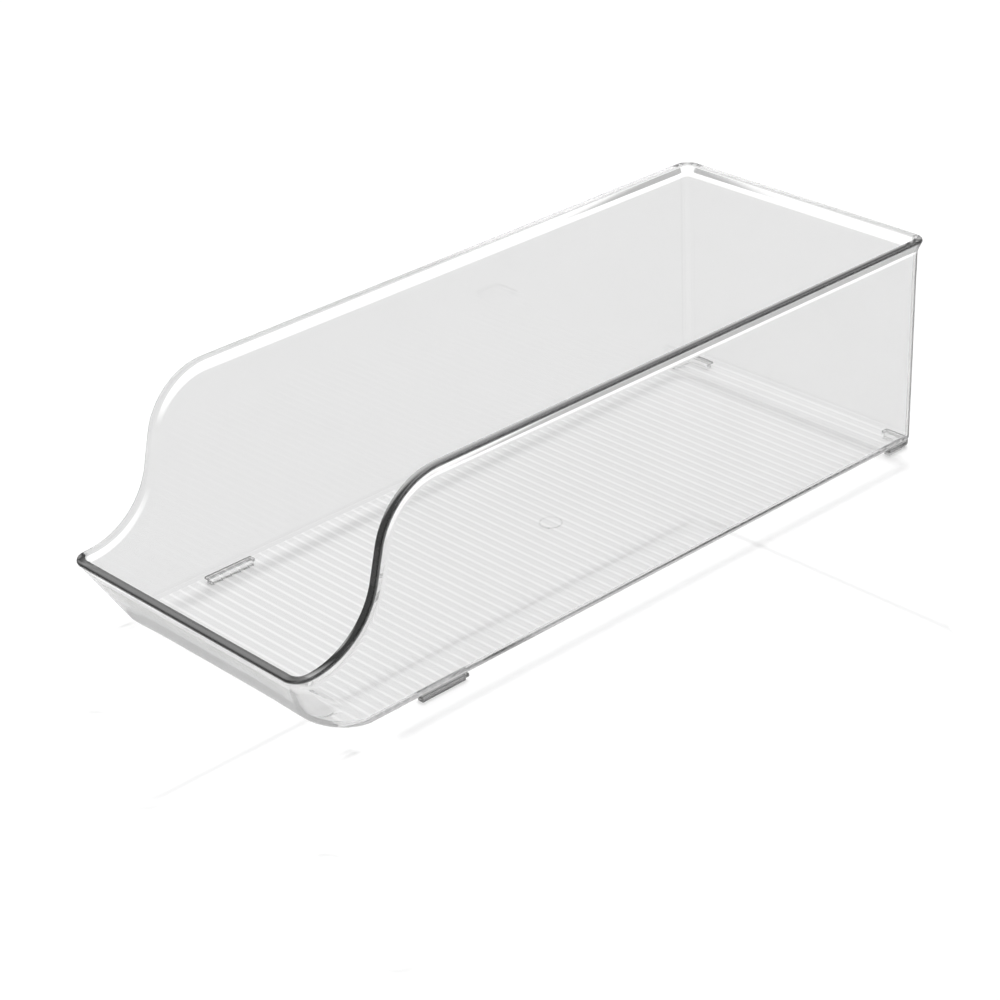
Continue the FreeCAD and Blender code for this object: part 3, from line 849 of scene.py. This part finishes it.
def raise_ribs(bm, size, floor):
    """Cut the floor along each rib and lift the cuts to a low round crown."""
    bmesh.ops.recalc_face_normals(bm, faces=bm.faces)
    bmesh.ops.inset_region(bm, faces=floor, thickness=FIELD_MARGIN, use_even_offset=True)
    half = size.rib_width / 2
    radius = (half * half + size.rib_height * size.rib_height) / (2 * size.rib_height)
    field = list(floor)

    def cut(place, direction):
        # A dict keeps the order, so each run gives the same mesh
        region = dict.fromkeys(thing for face in field for thing in (face, *face.edges, *face.verts))
        made = bmesh.ops.bisect_plane(bm, geom=list(region), plane_co=place, plane_no=direction,
                                      dist=0.1 * HAIR)
        field[:] = [thing for thing in made["geom"] if isinstance(thing, bmesh.types.BMFace)]

    for rib in range(size.rib_count):
        middle = rib * size.rib_pitch - size.rib_front
        for share in (-1, -0.5, 0, 0.5, 1):
            cut((0, middle + share * half, 0), (0, 1, 0))
    for side in (-1, 1):
        for reach in (size.rib_half, size.rib_half - 2 * size.rib_height):
            cut((side * reach, 0, 0), (1, 0, 0))
    last = size.rib_count - 1
    for vert in {vert for face in field for vert in face.verts}:
        if abs(vert.co.x) > size.rib_half - 2 * size.rib_height + HAIR:
            continue
        rib = min(last, max(0, round((vert.co.y + size.rib_front) / size.rib_pitch)))
        off = abs(vert.co.y - (rib * size.rib_pitch - size.rib_front))
        if off < half - HAIR:
            vert.co.z += math.sqrt(radius * radius - off * off) - (radius - size.rib_height)


def start_bar(bm, size, base, out, low, high, reach):
    """A bar's first face: from base out to reach, between these levels."""
    places = ((0, low), (reach, low), (reach, high), (0, high))
    return bm.faces.new([bm.verts.new(base + out * across + UP * level) for across, level in places])


def push(bm, face, way, centre=None, turn=0.0):
    """Extrude one face this way, or round a centre; returns the new one."""
    made = bmesh.ops.extrude_face_region(bm, geom=[face, *face.edges, *face.verts])["geom"]
    moved = [thing for thing in made if isinstance(thing, bmesh.types.BMVert)]
    bmesh.ops.translate(bm, verts=moved, vec=way)
    if turn:
        bmesh.ops.rotate(bm, verts=moved, cent=centre, matrix=Matrix.Rotation(turn, 3, "Z"))
    return next(thing for thing in made if isinstance(thing, bmesh.types.BMFace))


def soften(bm, size, darkness):
    """Round a bar's edges and mark how much painted shade its plastic gets."""
    bmesh.ops.recalc_face_normals(bm, faces=bm.faces)
    edges = [edge for edge in bm.edges if edge.calc_face_angle() > math.radians(BAR_EDGE)]
    bmesh.ops.bevel(bm, geom=edges, offset=size.foot_round, offset_type="OFFSET", segments=2,
                    profile=0.5, affect="EDGES", clamp_overlap=True, material=-1)
    dark = bm.verts.layers.float.new(PAINTED_SHADE_MARK)
    for vert in bm.verts:
        vert[dark] = darkness


def foot_parts(size, wall):
    """A foot's stacking part and shoulder, each as (lowest level, thickness, end step, painted
    shade).
    """
    return (0, size.foot_thickness, size.end_step, 0), (size.step_level, wall, 0, SHOULDER_DARK)


class CANTRAY_OT_front_feet(bpy.types.Operator):
    """Make the two straight feet under the front of the side walls"""

    bl_idname = "can_tray.front_feet"
    bl_label = "Make Front Feet"

    def execute(self, context):
        size = sizes()
        top = size.foot_height + FOOT_OVERLAP
        inner = size.foot_line - size.foot_thickness
        wall = Form(size).half_width(size.foot_height) - inner - WALL_MARGIN
        start = size.front_foot_start - size.length / 2
        for side, word in ((-1, "left"), (1, "right")):
            for low, reach, back_off, dark in foot_parts(size, wall):
                bm = bmesh.new()
                base = Vector((side * inner, start + back_off, 0))
                face = start_bar(bm, size, base, Vector((side, 0, 0)), low, top, reach)
                push(bm, face, Vector((0, size.front_foot_length - 2 * back_off, 0)))
                soften(bm, size, dark)
                weld_on(bm, f"front_foot_{word}", [f"front_{word}_foot"])
        return {"FINISHED"}


class CANTRAY_OT_back_feet(bpy.types.Operator):
    """Make the two L-shaped feet that follow the back corners"""

    bl_idname = "can_tray.back_feet"
    bl_label = "Make Back Feet"

    def execute(self, context):
        size = sizes()
        form = Form(size)
        top = size.foot_height + FOOT_OVERLAP
        outer = form.half_width(size.foot_height)
        near = size.foot_line - size.foot_thickness - (outer - size.back_corner)
        wall = size.back_corner - near - WALL_MARGIN
        for side, word in ((-1, "left"), (1, "right")):
            centre = Vector((side * (outer - size.back_corner),
                             form.back(size.foot_height) - size.back_corner, 0))
            for low, reach, back_off, dark in foot_parts(size, wall):
                bm = bmesh.new()
                leg = size.back_foot_leg - size.back_corner - back_off
                base = centre + Vector((side * near, -leg, 0))
                face = start_bar(bm, size, base, Vector((side, 0, 0)), low, top, reach)
                face = push(bm, face, Vector((0, leg, 0)))
                for _ in range(CORNER_STEPS):
                    face = push(bm, face, Vector(), centre, side * math.pi / 2 / CORNER_STEPS)
                push(bm, face, Vector((-side * leg, 0, 0)))
                soften(bm, size, dark)
                weld_on(bm, f"back_foot_{word}", [f"back_{word}_foot"])
        return {"FINISHED"}


class CANTRAY_OT_gate_mark(bpy.types.Operator):
    """Make the round gate mark under the floor"""

    bl_idname = "can_tray.gate_mark"
    bl_label = "Make Gate Mark"

    def execute(self, context):
        size = sizes()
        bm = bmesh.new()
        made = bmesh.ops.create_circle(bm, cap_ends=True, radius=size.gate_diameter / 2,
                                       segments=GATE_STEPS)
        low = size.foot_height - size.gate_height
        middle = Vector((size.gate_right, size.gate_back, low))
        bmesh.ops.translate(bm, verts=made["verts"], vec=middle)
        push(bm, bm.faces[:][0], UP * (size.gate_height + GATE_OVERLAP))
        bmesh.ops.recalc_face_normals(bm, faces=bm.faces)
        rim = [edge for edge in bm.edges if all(vert.co.z < low + HAIR for vert in edge.verts)]
        bmesh.ops.bevel(bm, geom=rim, offset=GATE_ROUND, offset_type="OFFSET", segments=3,
                        profile=0.5, affect="EDGES", clamp_overlap=True, material=-1)
        weld_on(bm, "gate_mark_disc", ["gate_mark"])
        return {"FINISHED"}


class CANTRAY_OT_polish(bpy.types.Operator):
    """Give the welded tray its clear plastic and smooth faces"""

    bl_idname = "can_tray.polish"
    bl_label = "Polish Tray"

    def execute(self, context):
        tray = bpy.data.objects[TRAY]
        bm = bmesh.new()
        bm.from_mesh(tray.data)
        bmesh.ops.remove_doubles(bm, verts=bm.verts, dist=HAIR)
        bmesh.ops.recalc_face_normals(bm, faces=bm.faces)
        sharpen(bm)
        bm.to_mesh(tray.data)
        bm.free()
        tray.data.materials.clear()
        tray.data.materials.append(clear_plastic())
        tray.data.shade_smooth()
        normals = tray.modifiers.new("Even normals", "WEIGHTED_NORMAL")
        normals.mode = "FACE_AREA"
        normals.weight = 90
        normals.keep_sharp = True
        return {"FINISHED"}


# The stage


def sight(tree):
    """Two values: one for camera rays, and one for rays mirrored by or gone through the plastic."""
    path = tree.nodes.new("ShaderNodeLightPath").outputs
    by_plastic = calculate(tree, "MAXIMUM", path["Is Glossy Ray"], path["Is Transmission Ray"])
    return path["Is Camera Ray"], by_plastic


def light_room(look):
    """Even fill for what is lit, greys for what the plastic shows, and white for the camera."""
    world = bpy.data.worlds.new("Room")
    bpy.context.scene.world = world
    world.use_nodes = True
    tree = world.node_tree
    tree.nodes.clear()
    fill = tree.nodes.new("ShaderNodeBackground")
    fill.inputs["Strength"].default_value = look.fill
    shown = tree.nodes.new("ShaderNodeBackground")
    place = tree.nodes.new("ShaderNodeTexCoord").outputs["Generated"]
    tree.links.new(grey_ramp(tree, ROOM_GREYS, level_of(tree, place)), shown.inputs["Color"])
    white = tree.nodes.new("ShaderNodeBackground")
    white.inputs["Color"].default_value = WHITE
    by_camera, by_plastic = sight(tree)
    looked = mix_shaders(tree, by_plastic, fill.outputs["Background"], shown.outputs["Background"])
    whole = mix_shaders(tree, by_camera, looked, white.outputs["Background"])
    output = tree.nodes.new("ShaderNodeOutputWorld")
    tree.links.new(whole, output.inputs["Surface"])


def lay_surface(look):
    """A pale table top that keeps the tray's shadow and is seen as white."""
    bm = bmesh.new()
    bmesh.ops.create_grid(bm, x_segments=4, y_segments=4, size=TABLE_HALF)
    mesh = bpy.data.meshes.new("table_top")
    bm.to_mesh(mesh)
    bm.free()
    surface = bpy.data.objects.new("table_top", mesh)
    bpy.context.collection.objects.link(surface)
    mesh.materials.append(pale_table(look))


def pale_table(look):
    """Matt white, lifted for the camera; where the plastic shows it at a low angle, painted light
    makes it whiter, then painted shade darker.
    """
    material = bpy.data.materials.new("Pale Table")
    material.use_nodes = True
    tree = material.node_tree
    plain = tree.nodes["Principled BSDF"]
    plain.inputs["Roughness"].default_value = 0.9
    plain.inputs["Specular IOR Level"].default_value = 0.0
    plain.inputs["Emission Color"].default_value = WHITE
    by_camera, by_plastic = sight(tree)
    low = facing(tree)
    shown_low = calculate(tree, "MULTIPLY", low, by_plastic)
    # Painted shade: darker where the plastic shows the surface nearly level
    dusk = grey_ramp(tree, ((GLOW_LAST, look.surface), (DUSK, look.low_surface)), shown_low)
    tree.links.new(dusk, plain.inputs["Base Color"])
    # Painted light: white added where the plastic shows the surface at a low angle
    window = calculate(tree, "MULTIPLY", painted_window_light(tree, look, low), by_plastic)
    lift = calculate(tree, "MULTIPLY_ADD", by_camera, look.seen_lift, window)
    tree.links.new(lift, plain.inputs["Emission Strength"])
    return material


def painted_window_light(tree, look, low):
    """Painted light: white added to the surface behind the tray on the left, for lines of sight this
    low.
    """
    stops = ((GLOW_START, 0.0), (GLOW_FULL, look.window), (GLOW_LAST, look.window), (DUSK, 0.0))
    white = grey_ramp(tree, stops, low)
    behind = tree.nodes.new("ShaderNodeVectorMath")
    behind.operation = "DOT_PRODUCT"
    behind.inputs[1].default_value = (-1, 1, 0)
    tree.links.new(tree.nodes.new("ShaderNodeTexCoord").outputs["Object"], behind.inputs[0])
    there = remap(tree, behind.outputs["Value"], look.window_edge, 3 * look.window_edge)
    return calculate(tree, "MULTIPLY", white, there)


def hang_light(name, strength, width, towards):
    """A round light far away, of this width in the sky."""
    data = bpy.data.lights.new(name, "SUN")
    data.energy = strength
    data.angle = width
    light = bpy.data.objects.new(name, data)
    light.visible_glossy = False
    light.visible_transmission = False
    light.rotation_mode = "QUATERNION"
    light.rotation_quaternion = Vector(towards).to_track_quat("Z", "Y")
    bpy.context.collection.objects.link(light)


def set_camera(look):
    """Stand the camera where the picture was taken from."""
    back = Vector((math.sin(look.azimuth) * math.cos(look.elevation),
                   -math.cos(look.azimuth) * math.cos(look.elevation), math.sin(look.elevation)))
    level = (-back).cross(UP).normalized()
    upright = level.cross(-back)
    right = math.cos(look.roll) * level + math.sin(look.roll) * upright
    top = math.cos(look.roll) * upright - math.sin(look.roll) * level
    data = bpy.data.cameras.new("camera")
    data.sensor_width = 36.0
    data.lens = look.focal / MM
    view_width = look.distance * data.sensor_width / data.lens
    aim = Vector((0, 0, look.aim_height))
    camera = bpy.data.objects.new("camera", data)
    camera.location = (aim + back * look.distance - right * (look.aim_across - 0.5) * view_width
                       + top * (look.aim_down - 0.5) * view_width)
    camera.rotation_mode = "QUATERNION"
    camera.rotation_quaternion = matrix_of(right, top, back).to_quaternion()
    bpy.context.collection.objects.link(camera)
    bpy.context.scene.camera = camera


def matrix_of(right, top, back):
    """The turn that has these as its own axes."""
    return Matrix((right, top, back)).transposed()


class CANTRAY_OT_stage(bpy.types.Operator):
    """Set the table top, the light and the camera"""

    bl_idname = "can_tray.stage"
    bl_label = "Set Stage"

    def execute(self, context):
        look = stage()
        context.scene.view_settings.view_transform = "Standard"
        lay_surface(look)
        light_room(look)
        hang_light("key_light", look.key_strength, look.key_softness, KEY_PLACE)
        hang_light("top_light", look.top_strength, look.top_softness, TOP_PLACE)
        set_camera(look)
        return {"FINISHED"}


# Panel and registration


class CANTRAY_PT_panel(bpy.types.Panel):
    """The tray's pieces and settings"""

    bl_idname = "CANTRAY_PT_panel"
    bl_label = "Can Storage Tray"
    bl_space_type = "VIEW_3D"
    bl_region_type = "UI"
    bl_category = "Can Tray"

    def draw(self, context):
        column = self.layout.column()
        for operator in OPERATORS:
            column.operator(operator.bl_idname)
        for group in (sizes(), finish(), stage()):
            box = self.layout.box()
            for name in group.bl_rna.properties.keys():
                if name not in {"rna_type", "name"}:
                    box.prop(group, name)


OPERATORS = (CANTRAY_OT_shell, CANTRAY_OT_front_feet, CANTRAY_OT_back_feet, CANTRAY_OT_gate_mark,
             CANTRAY_OT_polish, CANTRAY_OT_stage)
CLASSES = (TraySizes, TrayFinish, TrayStage, *OPERATORS, CANTRAY_PT_panel)


def register():
    for each in CLASSES:
        bpy.utils.register_class(each)
    bpy.types.Scene.can_tray_sizes = PointerProperty(type=TraySizes)
    bpy.types.Scene.can_tray_finish = PointerProperty(type=TrayFinish)
    bpy.types.Scene.can_tray_stage = PointerProperty(type=TrayStage)


def unregister():
    del bpy.types.Scene.can_tray_stage
    del bpy.types.Scene.can_tray_finish
    del bpy.types.Scene.can_tray_sizes
    for each in reversed(CLASSES):
        bpy.utils.unregister_class(each)


def main():
    register()
    bpy.ops.can_tray.shell()
    bpy.ops.can_tray.front_feet()
    bpy.ops.can_tray.back_feet()
    bpy.ops.can_tray.gate_mark()
    bpy.ops.can_tray.polish()
    bpy.ops.can_tray.stage()


if __name__ == "__main__":
    main()
